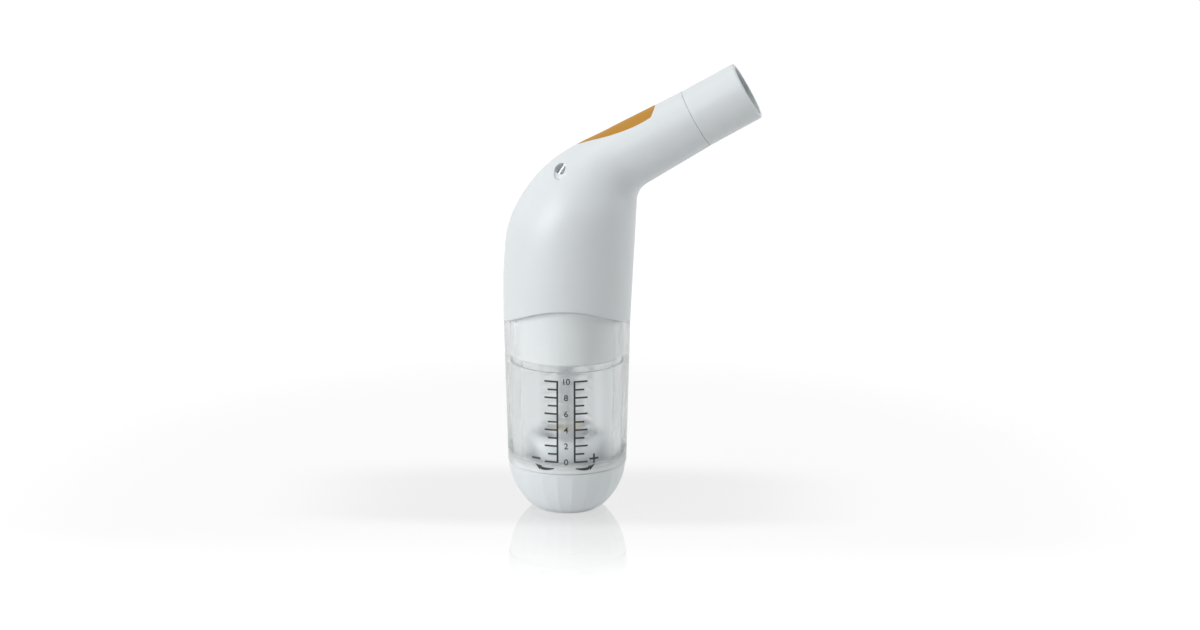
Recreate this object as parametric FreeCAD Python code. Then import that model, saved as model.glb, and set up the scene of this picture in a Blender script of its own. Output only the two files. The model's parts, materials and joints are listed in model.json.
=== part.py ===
import FreeCAD, Part
import math
import os

# A hand-held, spring-loaded breathing trainer, in millimetres.
# The origin is the centre of the knob's foot, +Z is up the body, and the mouth tube leans to +X.
# The printed scale is on the side that faces -Y.

Vec = FreeCAD.Vector
UP = Vec(0, 0, 1)

# Mouth tube, which is a 22 mm breathing fitting
TUBE_RADIUS = 11.0
TUBE_WALL = 1.5
TUBE_LENGTH = 21.2
TUBE_EDGE = 0.5
TUBE_CONE_LENGTH = 4.0
SPIGOT_LENGTH = 12.0
SPIGOT_WALL = 1.6

# Neck of the head cover
NECK_RISE_DEG = 29.5
NECK_CROSSING_Z = 119.2
NECK_LENGTH = 53.6
NECK_END_RADIUS = 11.05
NECK_TAPER_DEG = 2.0
NECK_WALL = 2.05
NECK_SOCKET_WALL = 1.25

# Bent head
BACK_X = -23.2
FRONT_X = 24.0
FRONT_LEAN_DEG = 3.0
BEND_START_Z = 88.0
SHOULDER_RADIUS = 49.0
THROAT_RADIUS = 8.0
RISE_STEPS = 2
FAN_STEPS = 4
LOFT_DEGREE = 3
LEAD_IN = 8.0
COVER_WALL = 2.8
COVER_BORE_RADIUS = 21.05
COVER_BORE_TOP = 89.0
HOLLOW_STEPS = (98.0, 106.0, 114.0, 121.0, 127.0)
NECK_DRAFT_DEG = 1.0

# Wavy seam between head cover and chamber
SEAM_Z = 74.9
SEAM_WAVE = 4.2
SEAM_GAP = 0.3

# Clear chamber
CHAMBER_FOOT_Z = 18.0
CHAMBER_FOOT_RADIUS = 21.8
BODY_DRAFT_DEG = 1.43
CHAMBER_WALL = 1.8
CHAMBER_FLOOR = 1.2
LEDGE_Z = 55.8
LEDGE_HEIGHT = 2.5
LEDGE_RADIUS = 19.9
COLLAR_RADIUS = 18.9
COLLAR_WALL = 1.6
COLLAR_LENGTH = 6.3

# Guide ribs in the chamber and the nut's wings that run between them
WING_WIDTH = 5.0
WING_REACH = 17.6
WING_HEIGHT = 5.0
RIB_THICKNESS = 1.2
RIB_INNER_X = 15.9
RIB_TOP_Z = 55.0

# Valve body: the white sleeve with the seat plate
SLEEVE_WALL = 1.8
SLEEVE_TOP_Z = 88.0
SEAT_PLATE_Z = 82.0
SEAT_PLATE_THICKNESS = 2.5
SEAT_HOLE_RADIUS = 9.0
SEAT_COLLAR_WALL = 1.2
SEAT_COLLAR_LENGTH = 4.1
RIM_WALL = 3.2
SPIDER_HEIGHT = 2.5
SPIDER_HUB_WALL = 1.3
SPOKE_WIDTH = 1.2
SPIDER_SPOKES = 3

# Poppet, its gasket and its exhale flap
GASKET_THICKNESS = 1.0
GASKET_WIDTH = 2.8
POPPET_RADIUS = 11.2
POPPET_THICKNESS = 2.0
POPPET_DOME = 0.6
BOSS_RADIUS = 4.0
BOSS_LENGTH = 13.6
EXHALE_PORTS = 6
EXHALE_PORT_RADIUS = 1.3
EXHALE_PORT_CIRCLE = 6.2
FLAP_RADIUS = 8.5
FLAP_THICKNESS = 0.8
FLAP_TRAVEL = 1.5
RETAINER_RADIUS = 5.8
RETAINER_THICKNESS = 1.0

# Spindle
JOURNAL_RADIUS = 1.9
SPINDLE_RADIUS = 3.4
SPINDLE_FLATS = 5.0
SPINDLE_FOOT_Z = 3.7
CLIP_RADIUS = 3.2
CLIP_THICKNESS = 0.6
CLIP_GROOVE_DEPTH = 0.5
SPINDLE_END_LENGTH = 0.9
WASHER_THICKNESS = 0.7

# Load nut
NUT_FOOT_Z = 19.8
NUT_RADIUS = 13.9
NUT_FLOOR = 2.5
NUT_HEIGHT = 7.5
NUT_CUP_WALL = 1.1
NUT_HUB_RADIUS = 6.2
NUT_HUB_HEIGHT = 8.7
INSERT_RADIUS = 5.0
INSERT_FLANGE_RADIUS = 5.9
INSERT_FLANGE_THICKNESS = 0.6

# Load spring and the cups at its ends
SPRING_RADIUS = 11.75
WIRE_RADIUS = 0.55
SPRING_PITCH = 3.5
WIRE_SIDES = 4
CUP_THICKNESS = 0.7
CUP_LIP_HEIGHT = 1.4
CUP_LIP_WALL = 0.7

# Bearing for the spindle in the chamber's collar
GUIDE_HEIGHT = 2.5
GUIDE_HUB_HEIGHT = 5.5
GUIDE_RING_WALL = 2.0
GUIDE_HUB_WALL = 2.0
GUIDE_SPOKES = 4
GUIDE_SPOKE_WIDTH = 1.8

# Tension knob
KNOB_RIM_RADIUS = 21.4
KNOB_RIM_GAP = 0.3
KNOB_MIDDLE_RADIUS = 19.3
KNOB_MIDDLE_Z = 9.4
KNOB_LOW_RADIUS = 14.3
KNOB_LOW_Z = 2.0
KNOB_FOOT_RADIUS = 11.4
KNOB_RIM_EDGE = 0.6
KNOB_RIM_DRAFT = 0.06
KNOB_WALL = 1.7
KNOB_FLOOR = 2.2
KNOB_BORE_FOOT_Z = 11.4
KNOB_FLAT_COUNT = 24
KNOB_LIP_RADIUS = 21.5
KNOB_LIP_HEIGHT = 1.1
KNOB_HUB_WALL = 1.7
KNOB_HUB_TOP_Z = 11.4
SOCKET_RADIUS = 4.6
VENTS = 6
VENT_INNER_RADIUS = 7.4
VENT_OUTER_RADIUS = 9.8
VENT_SPAN_DEG = 40.0

# Snap ring that holds the knob, and the ring that gives it drag
SNAP_RING_Z = 13.25
SNAP_RING_HEIGHT = 0.9
SNAP_RING_INNER = 18.3
SNAP_RING_OUTER = 19.4
SNAP_RING_GAP_DEG = 24.0
DRAG_RING_Z = 16.2
DRAG_RING_SECTION = 0.5

# Seals on the valve body and on the mouth tube's spigot
SEAL_SECTION = 0.8
HEAD_SEAL_Z = 85.6
LEDGE_GASKET_THICKNESS = 0.5
TUBE_SEAL_SECTION = 0.55
TUBE_SEAL_BACK = 6.0

# Orange inlay on the top of the neck
INLAY_TIP_BACK = 41.9
INLAY_MIDDLE_BACK = 29.6
INLAY_CORNER_BACK = 13.4
INLAY_END_BACK = 10.6
INLAY_TIP_WIDTH = 0.8
INLAY_MIDDLE_WIDTH = 11.4
INLAY_CORNER_WIDTH = 13.2
INLAY_DEPTH = 0.9
INLAY_CORNER = 1.0

# Lanyard pocket in the crown, with its cross pin
POCKET_X = -2.2
POCKET_Y = -9.4
POCKET_Z = 129.2
POCKET_TURN_DEG = 34.0
POCKET_RISE_DEG = 34.0
POCKET_LENGTH = 8.4
POCKET_WIDTH = 5.8
POCKET_DISH_DEPTH = 1.3
POCKET_DISH_DROP = 1.6
POCKET_HOLE_RADIUS = 2.2
POCKET_HOLE_DEPTH = 4.6
POCKET_WALL = 1.3
PIN_RADIUS = 0.55
PIN_DEPTH = 1.9
PIN_SEAT = 0.8
PIN_TURN_DEG = 40.0

# Clearances
RUNNING_GAP = 0.05
LOOSE_GAP = 0.1
WING_GAP = 0.4
REST_GAP = 0.1
FIT_GAP = 0.05


# Values that follow from the sizes above

def body_radius(z):
    """Outer radius of the tapered body at height z."""
    return CHAMBER_FOOT_RADIUS + (z - CHAMBER_FOOT_Z) * math.tan(math.radians(BODY_DRAFT_DEG))


NECK_DIRECTION = Vec(math.cos(math.radians(NECK_RISE_DEG)), 0, math.sin(math.radians(NECK_RISE_DEG)))
NECK_TOP_NORMAL = Vec(-NECK_DIRECTION.z, 0, NECK_DIRECTION.x)
NECK_TILT_DEG = 90.0 - NECK_RISE_DEG
NECK_TOP_DEG = NECK_RISE_DEG - NECK_TAPER_DEG
NECK_LOW_DEG = NECK_RISE_DEG + NECK_TAPER_DEG
SLEEVE_RADIUS = COVER_BORE_RADIUS - LOOSE_GAP - RUNNING_GAP
SLEEVE_FOOT_Z = LEDGE_Z + LEDGE_HEIGHT + LEDGE_GASKET_THICKNESS
SEAT_TOP_Z = SEAT_PLATE_Z + SEAT_PLATE_THICKNESS
GASKET_INNER_RADIUS = SEAT_HOLE_RADIUS + 2 * LOOSE_GAP
POPPET_FOOT_Z = SEAT_TOP_Z + GASKET_THICKNESS + REST_GAP
POPPET_TOP_Z = POPPET_FOOT_Z + POPPET_THICKNESS
BOSS_FOOT_Z = POPPET_FOOT_Z - BOSS_LENGTH
FLAP_Z = POPPET_FOOT_Z - REST_GAP - FLAP_THICKNESS
RETAINER_Z = FLAP_Z - FLAP_TRAVEL - REST_GAP - RETAINER_THICKNESS
SHOULDER_Z = BOSS_FOOT_Z - WASHER_THICKNESS - RUNNING_GAP
CLIP_Z = POPPET_TOP_Z + RUNNING_GAP
COLLAR_FOOT_Z = CHAMBER_FOOT_Z - COLLAR_LENGTH
COLLAR_BORE_RADIUS = COLLAR_RADIUS - COLLAR_WALL
CHAMBER_FLOOR_Z = CHAMBER_FOOT_Z + CHAMBER_FLOOR
KNOB_RIM_Z = CHAMBER_FOOT_Z - KNOB_RIM_GAP
UPPER_CUP_FOOT_Z = SEAT_PLATE_Z - CUP_THICKNESS
LOWER_CUP_FOOT_Z = NUT_FOOT_Z + NUT_FLOOR
LOWER_CUP_TOP_Z = LOWER_CUP_FOOT_Z + CUP_THICKNESS
KNOB_BORE_RADIUS = COLLAR_RADIUS + LOOSE_GAP
GUIDE_Z = COLLAR_FOOT_Z + LOOSE_GAP
SOCKET_BORE_RADIUS = NECK_END_RADIUS - NECK_SOCKET_WALL
WAVE_REACH = 7 * SEAM_WAVE
SPIGOT_RADIUS = SOCKET_BORE_RADIUS - FIT_GAP


def tube_shape(outer, inner, z_low, height):
    """A plain ring about the body axis."""
    ring = Part.makeCylinder(outer, height, Vec(0, 0, z_low))
    return ring.cut(Part.makeCylinder(inner, height, Vec(0, 0, z_low)))


def disc(radius, z_low, height):
    return Part.makeCylinder(radius, height, Vec(0, 0, z_low))


def turned(points):
    """A solid turned about the body axis from (radius, height) corners."""
    corners = [Vec(r, 0, z) for r, z in points]
    face = Part.Face(Part.makePolygon(corners + corners[:1]))
    return face.revolve(Vec(0, 0, 0), UP, 360)


def seal_ring(outer_radius, section, z):
    """A square-section seal whose outside has the given radius."""
    return tube_shape(outer_radius, outer_radius - 2 * section, z - section, 2 * section)


def seal_groove(outer_radius, section, z):
    """The square groove that such a ring lies in."""
    half_height = section + RUNNING_GAP
    depth = 2 * section + RUNNING_GAP
    return tube_shape(outer_radius + 1, outer_radius - depth, z - half_height, 2 * half_height)


def around(shape, count, start_deg=0.0):
    """Copies of a shape, evenly spaced about the body axis."""
    copies = []
    for index in range(count):
        copy = shape.copy()
        copy.rotate(Vec(0, 0, 0), UP, start_deg + index * 360.0 / count)
        copies.append(copy)
    return copies


def cut_all(shape, tools):
    return shape.cut(Part.makeCompound(tools))


def fuse_all(shapes):
    return shapes[0].multiFuse(shapes[1:]).removeSplitter()


def hexagon(flats, z_low, height):
    """A six-sided bar, measured across its flats."""
    reach = flats / math.sqrt(3)
    corners = []
    for index in range(7):
        angle = math.radians(60 * index)
        corners.append(Vec(reach * math.cos(angle), reach * math.sin(angle), z_low))
    return Part.Face(Part.makePolygon(corners)).extrude(Vec(0, 0, height))


def along_neck(shape):
    """Carries a shape built upwards from the origin to the end of the neck."""
    placed = shape.copy()
    placed.rotate(Vec(0, 0, 0), Vec(0, 1, 0), NECK_TILT_DEG)
    placed.translate(neck_point(0))
    return placed


def neck_point(back):
    """A point on the neck's axis, this far back from the neck's end."""
    return Vec(0, 0, NECK_CROSSING_Z) + NECK_DIRECTION * (NECK_LENGTH - back)


# Head cover

def circle_between(low, high):
    """A circle that stands across the XZ plane, with these two points as its diameter."""
    centre = (low + high) * 0.5
    across = high - low
    tilt = math.degrees(math.atan2(-across.z, across.x))
    edge = Part.makeCircle(across.Length / 2, Vec(0, 0, 0), UP)
    wire = Part.Wire(edge)
    wire.rotate(Vec(0, 0, 0), Vec(0, 1, 0), tilt)
    wire.translate(centre)
    return wire


def heading(degrees):
    """A direction in the XZ plane, this many degrees up from +X."""
    return Vec(math.cos(math.radians(degrees)), 0, math.sin(math.radians(degrees)))


def neck_edge(side):
    """The neck end's top point for side 1, or its lowest point for side -1."""
    return neck_point(0) + NECK_TOP_NORMAL * (side * NECK_END_RADIUS)


def shoulder_centre():
    """Centre of the arc that joins the straight back to the neck's top line."""
    normal = heading(NECK_TOP_DEG + 90)
    x = BACK_X + SHOULDER_RADIUS
    z = (normal.dot(neck_edge(1)) - SHOULDER_RADIUS - normal.x * x) / normal.z
    return Vec(x, 0, z)


def throat_centre():
    """Centre of the arc that joins the leaning front to the neck's lower line, outside the body."""
    front_normal = heading(-FRONT_LEAN_DEG)
    low_normal = heading(NECK_LOW_DEG - 90)
    front_reach = front_normal.dot(Vec(FRONT_X, 0, BEND_START_Z)) + THROAT_RADIUS
    low_reach = low_normal.dot(neck_edge(-1)) + THROAT_RADIUS
    cross = front_normal.x * low_normal.z - front_normal.z * low_normal.x
    x = (front_reach * low_normal.z - low_reach * front_normal.z) / cross
    z = (front_normal.x * low_reach - low_normal.x * front_reach) / cross
    return Vec(x, 0, z)


def shoulder_x(z):
    """How far back the head reaches at height z, up to the end of the shoulder's arc."""
    rise = max(0.0, z - shoulder_centre().z)
    return BACK_X + SHOULDER_RADIUS - math.sqrt(SHOULDER_RADIUS ** 2 - rise ** 2)


def back_point(front, tilt_deg):
    """Where a line from the front, tilted up to the back by tilt_deg, meets the back of the elbow."""
    way = heading(180 - tilt_deg)
    centre = shoulder_centre()
    upright = front + way * ((front.x - BACK_X) / -way.x)
    if upright.z <= centre.z:
        return upright
    normal = heading(NECK_TOP_DEG + 90)
    on_neck = front + way * (normal.dot(neck_edge(1) - front) / normal.dot(way))
    if on_neck.x >= centre.x + SHOULDER_RADIUS * normal.x:
        return on_neck
    offset = front - centre
    along = offset.dot(way)
    return front + way * (math.sqrt(along ** 2 - offset.dot(offset) + SHOULDER_RADIUS ** 2) - along)


def elbow_pairs():
    """Matching points of the back and the front: up the body, then fanned round the throat."""
    foot = Vec(FRONT_X, 0, BEND_START_Z)
    centre = throat_centre()
    throat_foot = centre + heading(180 - FRONT_LEAN_DEG) * THROAT_RADIUS
    pairs = []
    for step in range(RISE_STEPS):
        share = step / RISE_STEPS
        front = foot + (throat_foot - foot) * share
        pairs.append((back_point(front, FRONT_LEAN_DEG * share), front))
    last_tilt = 90 - NECK_LOW_DEG
    for step in range(FAN_STEPS + 1):
        tilt = FRONT_LEAN_DEG + (last_tilt - FRONT_LEAN_DEG) * step / FAN_STEPS
        front = centre + heading(180 - tilt) * THROAT_RADIUS
        pairs.append((back_point(front, tilt), front))
    return pairs


def circle_of(pair, inset):
    """The circle between two matching points, drawn in all round by inset."""
    back, front = pair
    inward = (front - back).normalize() * inset
    return circle_between(back + inward, front - inward)


def beyond(pair, normal):
    """A large block on the far side of the plane through two matching points."""
    back, front = pair
    size = 4 * NECK_LENGTH
    block = Part.makeBox(size, size, size, Vec(-size / 2, -size / 2, 0))
    turn = FreeCAD.Rotation(UP, normal)
    block.Placement = FreeCAD.Placement((back + front) * 0.5, turn).multiply(block.Placement)
    return block


def head_form(inset):
    """The bent head: straight leaning body, lofted elbow and straight tapered neck."""
    pairs = elbow_pairs()
    first, last = pairs[0], pairs[-1]
    drop = BEND_START_Z - SEAM_Z + 3 * SEAM_WAVE
    lean = math.tan(math.radians(FRONT_LEAN_DEG))
    foot = (Vec(BACK_X, 0, BEND_START_Z - drop), Vec(FRONT_X - drop * lean, 0, BEND_START_Z - drop))
    lead_in = (first[0] - UP * LEAD_IN, first[1] - Vec(lean, 0, 1) * LEAD_IN)
    lead_out = (last[0] + heading(NECK_TOP_DEG) * LEAD_IN, last[1] + heading(NECK_LOW_DEG) * LEAD_IN)
    end = (neck_edge(1), neck_edge(-1))
    elbow = Part.makeLoft([circle_of(pair, inset) for pair in [lead_in] + pairs + [lead_out]],
                          True, False, False, LOFT_DEGREE)
    elbow = elbow.cut(beyond(first, Vec(0, 0, -1)))
    elbow = elbow.cut(beyond(last, heading(NECK_LOW_DEG)))
    body = Part.makeLoft([circle_of(foot, inset), circle_of(first, inset)], True, True)
    neck = Part.makeLoft([circle_of(last, inset), circle_of(end, inset)], True, True)
    return fuse_all([body, elbow, neck])


def head_hollow():
    """The room in the head: one core drawn down out of the body and one drawn out of the neck."""
    foot_z = SEAM_Z - 3 * SEAM_WAVE
    bore = disc(COVER_BORE_RADIUS, foot_z - 1, COVER_BORE_TOP - foot_z + 1)
    bore_edge = Vec(COVER_BORE_RADIUS, 0, COVER_BORE_TOP)
    wires = [circle_between(Vec(-COVER_BORE_RADIUS, 0, COVER_BORE_TOP), bore_edge)]
    for z in HOLLOW_STEPS:
        back = shoulder_x(z) + COVER_WALL
        wires.append(circle_between(Vec(back, 0, z), Vec(COVER_BORE_RADIUS, 0, z)))
    body_core = Part.makeLoft(wires, True, True)
    neck_bore = NECK_END_RADIUS - NECK_WALL
    core_length = NECK_LENGTH - COVER_BORE_RADIUS / 2
    root_bore = neck_bore + core_length * math.tan(math.radians(NECK_DRAFT_DEG))
    neck_core = Part.makeCone(root_bore, neck_bore, core_length + 1, Vec(0, 0, -core_length))
    socket = Part.makeCylinder(SOCKET_BORE_RADIUS, SPIGOT_LENGTH + LOOSE_GAP + 1,
                               Vec(0, 0, -SPIGOT_LENGTH - LOOSE_GAP))
    return fuse_all([bore, body_core, along_neck(neck_core), along_neck(socket)])


def wave_block(z_shift, height):
    """A block whose one face is the wavy seam's surface, and which reaches up, or down, by height."""
    reach = 2 * CHAMBER_FOOT_RADIUS
    bow = SEAM_WAVE * (reach / body_radius(SEAM_Z)) ** 2
    surface = Part.BezierSurface()
    surface.increase(2, 2)
    places = (-reach, 0.0, reach)
    bends = (bow, -bow, bow)
    for i in range(3):
        for j in range(3):
            z = SEAM_Z + z_shift - bends[i] + bends[j]
            surface.setPole(i + 1, j + 1, Vec(places[i], places[j], z))
    return surface.toShape().extrude(Vec(0, 0, height))


def inlay_prism(grow):
    """The inlay's leaf outline, standing on the neck's top, widened by grow."""
    tip_x = NECK_LENGTH - INLAY_TIP_BACK - grow
    middle_x = NECK_LENGTH - INLAY_MIDDLE_BACK
    corner_x = NECK_LENGTH - INLAY_CORNER_BACK + grow
    end_x = NECK_LENGTH - INLAY_END_BACK + grow
    half_tip = INLAY_TIP_WIDTH / 2 + grow
    half_middle = INLAY_MIDDLE_WIDTH / 2 + grow
    half_corner = INLAY_CORNER_WIDTH / 2 + grow
    low = [Vec(tip_x, -half_tip, 0), Vec(middle_x, -half_middle, 0), Vec(corner_x, -half_corner, 0)]
    high = [Vec(point.x, -point.y, 0) for point in reversed(low)]
    edges = [
        Part.Arc(low[0], low[1], low[2]).toShape(),
        Part.Arc(low[2], Vec(end_x, 0, 0), high[0]).toShape(),
        Part.Arc(high[0], high[1], high[2]).toShape(),
        Part.LineSegment(high[2], low[0]).toShape(),
    ]
    prism = Part.Face(Part.Wire(edges)).extrude(Vec(0, 0, 2 * NECK_END_RADIUS))
    corners = [edge for edge in prism.Edges if abs(edge.Vertexes[0].Z - edge.Vertexes[-1].Z) > 1
               and edge.Vertexes[0].X > middle_x]
    prism = prism.makeFillet(INLAY_CORNER, corners)
    prism.rotate(Vec(0, 0, 0), Vec(0, 1, 0), -NECK_RISE_DEG)
    prism.translate(Vec(0, 0, NECK_CROSSING_Z))
    return prism


def pocket_direction():
    """The way the lanyard pocket faces, out of the crown."""
    rise = math.radians(POCKET_RISE_DEG)
    turn = math.radians(POCKET_TURN_DEG)
    return Vec(-math.cos(rise) * math.sin(turn), -math.cos(rise) * math.cos(turn), math.sin(rise))


def into_pocket(shape):
    """Carries a shape built about +Z at the origin to the pocket, with +Z out of the crown."""
    placed = shape.copy()
    turn = FreeCAD.Rotation(UP, pocket_direction())
    placed.Placement = FreeCAD.Placement(Vec(POCKET_X, POCKET_Y, POCKET_Z), turn).multiply(placed.Placement)
    return placed


def pocket_dish():
    """The shallow oval dish round the pocket's mouth."""
    ball = Part.makeSphere(1.0)
    shape = FreeCAD.Matrix()
    shape.scale(POCKET_WIDTH / 2, POCKET_LENGTH / 2, 2 * POCKET_DISH_DEPTH)
    ball = ball.transformGeometry(shape)
    ball.translate(Vec(0, -POCKET_DISH_DROP, POCKET_DISH_DEPTH))
    return into_pocket(ball)


def pocket_hole():
    hole = Part.makeCylinder(POCKET_HOLE_RADIUS, 2 * POCKET_HOLE_DEPTH, Vec(0, 0, -POCKET_HOLE_DEPTH))
    return into_pocket(hole)


def pocket_housing():
    """The blind boss inside the crown that the pocket is sunk in."""
    radius = POCKET_HOLE_RADIUS + POCKET_WALL
    depth = POCKET_HOLE_DEPTH + POCKET_WALL
    return into_pocket(Part.makeCylinder(radius, 1.5 * depth, Vec(0, 0, -depth)))


def lanyard_pin(grow=0.0):
    length = 2 * (POCKET_HOLE_RADIUS + PIN_SEAT) + 2 * grow
    pin = Part.makeCylinder(PIN_RADIUS + grow, length, Vec(-length / 2, 0, -PIN_DEPTH), Vec(1, 0, 0))
    pin.rotate(Vec(0, 0, 0), UP, PIN_TURN_DEG)
    return into_pocket(pin)


def head_cover():
    outer = head_form(0.0)
    shell = outer.cut(head_hollow())
    shell = shell.fuse(pocket_housing().common(outer))
    shell = shell.cut(pocket_hole())
    shell = shell.cut(pocket_dish())
    shell = shell.cut(lanyard_pin(FIT_GAP))
    shell = shell.cut(inlay_prism(FIT_GAP).common(outer.cut(head_form(INLAY_DEPTH))))
    return shell.cut(wave_block(SEAM_GAP / 2, -WAVE_REACH))


def grip_inlay():
    skin = head_form(0.0).cut(head_form(INLAY_DEPTH))
    return inlay_prism(0.0).common(skin)


# Mouth tube

def mouth_tube():
    spigot_bore = SPIGOT_RADIUS - SPIGOT_WALL
    tube_bore = TUBE_RADIUS - TUBE_WALL
    tube = turned([
        (spigot_bore, -SPIGOT_LENGTH),
        (SPIGOT_RADIUS - TUBE_EDGE, -SPIGOT_LENGTH),
        (SPIGOT_RADIUS, -SPIGOT_LENGTH + TUBE_EDGE),
        (SPIGOT_RADIUS, LOOSE_GAP),
        (TUBE_RADIUS - LOOSE_GAP, LOOSE_GAP),
        (TUBE_RADIUS, 2 * LOOSE_GAP),
        (TUBE_RADIUS, TUBE_LENGTH - TUBE_EDGE),
        (TUBE_RADIUS - TUBE_EDGE, TUBE_LENGTH),
        (tube_bore + TUBE_EDGE / 2, TUBE_LENGTH),
        (tube_bore, TUBE_LENGTH - TUBE_EDGE / 2),
        (tube_bore, TUBE_CONE_LENGTH),
        (spigot_bore, 0),
    ])
    tube = tube.cut(seal_groove(SPIGOT_RADIUS, TUBE_SEAL_SECTION, -TUBE_SEAL_BACK))
    return along_neck(tube)


def tube_seal():
    return along_neck(seal_ring(SPIGOT_RADIUS, TUBE_SEAL_SECTION, -TUBE_SEAL_BACK))


# Chamber

def chamber():
    top_z = SEAM_Z + 1.5 * SEAM_WAVE
    ledge_top = LEDGE_Z + LEDGE_HEIGHT
    low_bore = body_radius(CHAMBER_FLOOR_Z) - CHAMBER_WALL
    shell = turned([
        (COLLAR_BORE_RADIUS, COLLAR_FOOT_Z),
        (COLLAR_RADIUS, COLLAR_FOOT_Z),
        (COLLAR_RADIUS, CHAMBER_FOOT_Z),
        (body_radius(CHAMBER_FOOT_Z), CHAMBER_FOOT_Z),
        (body_radius(top_z), top_z),
        (SLEEVE_RADIUS + FIT_GAP, top_z),
        (SLEEVE_RADIUS + FIT_GAP, ledge_top),
        (LEDGE_RADIUS, ledge_top),
        (LEDGE_RADIUS, LEDGE_Z),
        (body_radius(LEDGE_Z) - CHAMBER_WALL, LEDGE_Z),
        (low_bore, CHAMBER_FLOOR_Z),
        (COLLAR_BORE_RADIUS, CHAMBER_FLOOR_Z),
    ])
    shell = shell.cut(wave_block(-SEAM_GAP / 2, WAVE_REACH))
    rib_y = WING_WIDTH / 2 + WING_GAP
    rib = Part.makeBox(low_bore + CHAMBER_WALL / 2 - RIB_INNER_X, RIB_THICKNESS, RIB_TOP_Z - CHAMBER_FLOOR_Z,
                       Vec(RIB_INNER_X, rib_y, CHAMBER_FLOOR_Z))
    mirrored = rib.mirror(Vec(0, 0, 0), Vec(0, 1, 0))
    ribs = around(rib, 2) + around(mirrored, 2)
    shell = fuse_all([shell] + ribs)
    shell = shell.cut(seal_groove(COLLAR_RADIUS, DRAG_RING_SECTION, DRAG_RING_Z))
    groove_depth = SNAP_RING_INNER - LOOSE_GAP
    groove = tube_shape(COLLAR_RADIUS + 1, groove_depth, SNAP_RING_Z - RUNNING_GAP,
                        SNAP_RING_HEIGHT + 2 * RUNNING_GAP)
    return shell.cut(groove)


def spindle_guide():
    """The spoked bearing for the spindle, pressed into the chamber's collar."""
    outer = COLLAR_BORE_RADIUS - FIT_GAP
    bore = SPINDLE_RADIUS + LOOSE_GAP
    hub_radius = bore + GUIDE_HUB_WALL
    ring = tube_shape(outer, outer - GUIDE_RING_WALL, GUIDE_Z, GUIDE_HEIGHT)
    hub = disc(hub_radius, GUIDE_Z, GUIDE_HUB_HEIGHT)
    spoke = Part.makeBox(outer - GUIDE_RING_WALL / 2 - bore, GUIDE_SPOKE_WIDTH, GUIDE_HEIGHT,
                         Vec(bore, -GUIDE_SPOKE_WIDTH / 2, GUIDE_Z))
    guide = fuse_all([ring, hub] + around(spoke, GUIDE_SPOKES, 45))
    return guide.cut(disc(bore, GUIDE_Z - 1, GUIDE_HUB_HEIGHT + 2))


# Valve body

def valve_body():
    rim_bore = SLEEVE_RADIUS - RIM_WALL
    shell = turned([
        (SLEEVE_RADIUS - SLEEVE_WALL, SLEEVE_FOOT_Z),
        (SLEEVE_RADIUS, SLEEVE_FOOT_Z),
        (SLEEVE_RADIUS, SLEEVE_TOP_Z),
        (rim_bore, SLEEVE_TOP_Z),
        (rim_bore, SEAT_TOP_Z),
        (SEAT_HOLE_RADIUS, SEAT_TOP_Z),
        (SEAT_HOLE_RADIUS, SEAT_PLATE_Z - SEAT_COLLAR_LENGTH),
        (SEAT_HOLE_RADIUS + SEAT_COLLAR_WALL, SEAT_PLATE_Z - SEAT_COLLAR_LENGTH),
        (SEAT_HOLE_RADIUS + SEAT_COLLAR_WALL, SEAT_PLATE_Z),
        (SLEEVE_RADIUS - SLEEVE_WALL, SEAT_PLATE_Z),
    ])
    spider_z = SEAT_PLATE_Z - SEAT_COLLAR_LENGTH
    hub_bore = BOSS_RADIUS + LOOSE_GAP
    hub = disc(hub_bore + SPIDER_HUB_WALL, spider_z, SPIDER_HEIGHT)
    spoke = Part.makeBox(SEAT_HOLE_RADIUS + SEAT_COLLAR_WALL / 2 - hub_bore, SPOKE_WIDTH, SPIDER_HEIGHT,
                         Vec(hub_bore, -SPOKE_WIDTH / 2, spider_z))
    shell = fuse_all([shell, hub] + around(spoke, SPIDER_SPOKES, 90))
    shell = shell.cut(disc(hub_bore, spider_z - 1, SPIDER_HEIGHT + 2))
    return shell.cut(seal_groove(SLEEVE_RADIUS, SEAL_SECTION, HEAD_SEAL_Z))


def head_seal():
    return seal_ring(SLEEVE_RADIUS, SEAL_SECTION, HEAD_SEAL_Z)


def chamber_seal():
    """The flat gasket between the sleeve's foot and the chamber's ledge."""
    return tube_shape(SLEEVE_RADIUS, LEDGE_RADIUS + LOOSE_GAP, LEDGE_Z + LEDGE_HEIGHT, LEDGE_GASKET_THICKNESS)


def seat_gasket():
    return tube_shape(GASKET_INNER_RADIUS + GASKET_WIDTH, GASKET_INNER_RADIUS, SEAT_TOP_Z, GASKET_THICKNESS)


# Poppet and what it carries

def poppet():
    plate = turned([
        (0, POPPET_FOOT_Z),
        (POPPET_RADIUS, POPPET_FOOT_Z),
        (POPPET_RADIUS, POPPET_TOP_Z - POPPET_DOME),
        (POPPET_RADIUS - POPPET_DOME, POPPET_TOP_Z),
        (0, POPPET_TOP_Z),
    ])
    boss = disc(BOSS_RADIUS, BOSS_FOOT_Z, BOSS_LENGTH)
    plate = plate.fuse(boss).removeSplitter()
    port = Part.makeCylinder(EXHALE_PORT_RADIUS, POPPET_THICKNESS + 2,
                             Vec(EXHALE_PORT_CIRCLE, 0, POPPET_FOOT_Z - 1))
    plate = cut_all(plate, around(port, EXHALE_PORTS, 30))
    return plate.cut(disc(JOURNAL_RADIUS + RUNNING_GAP, BOSS_FOOT_Z - 1, BOSS_LENGTH + POPPET_THICKNESS + 2))


def exhale_flap():
    return tube_shape(FLAP_RADIUS, BOSS_RADIUS + LOOSE_GAP, FLAP_Z, FLAP_THICKNESS)


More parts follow.
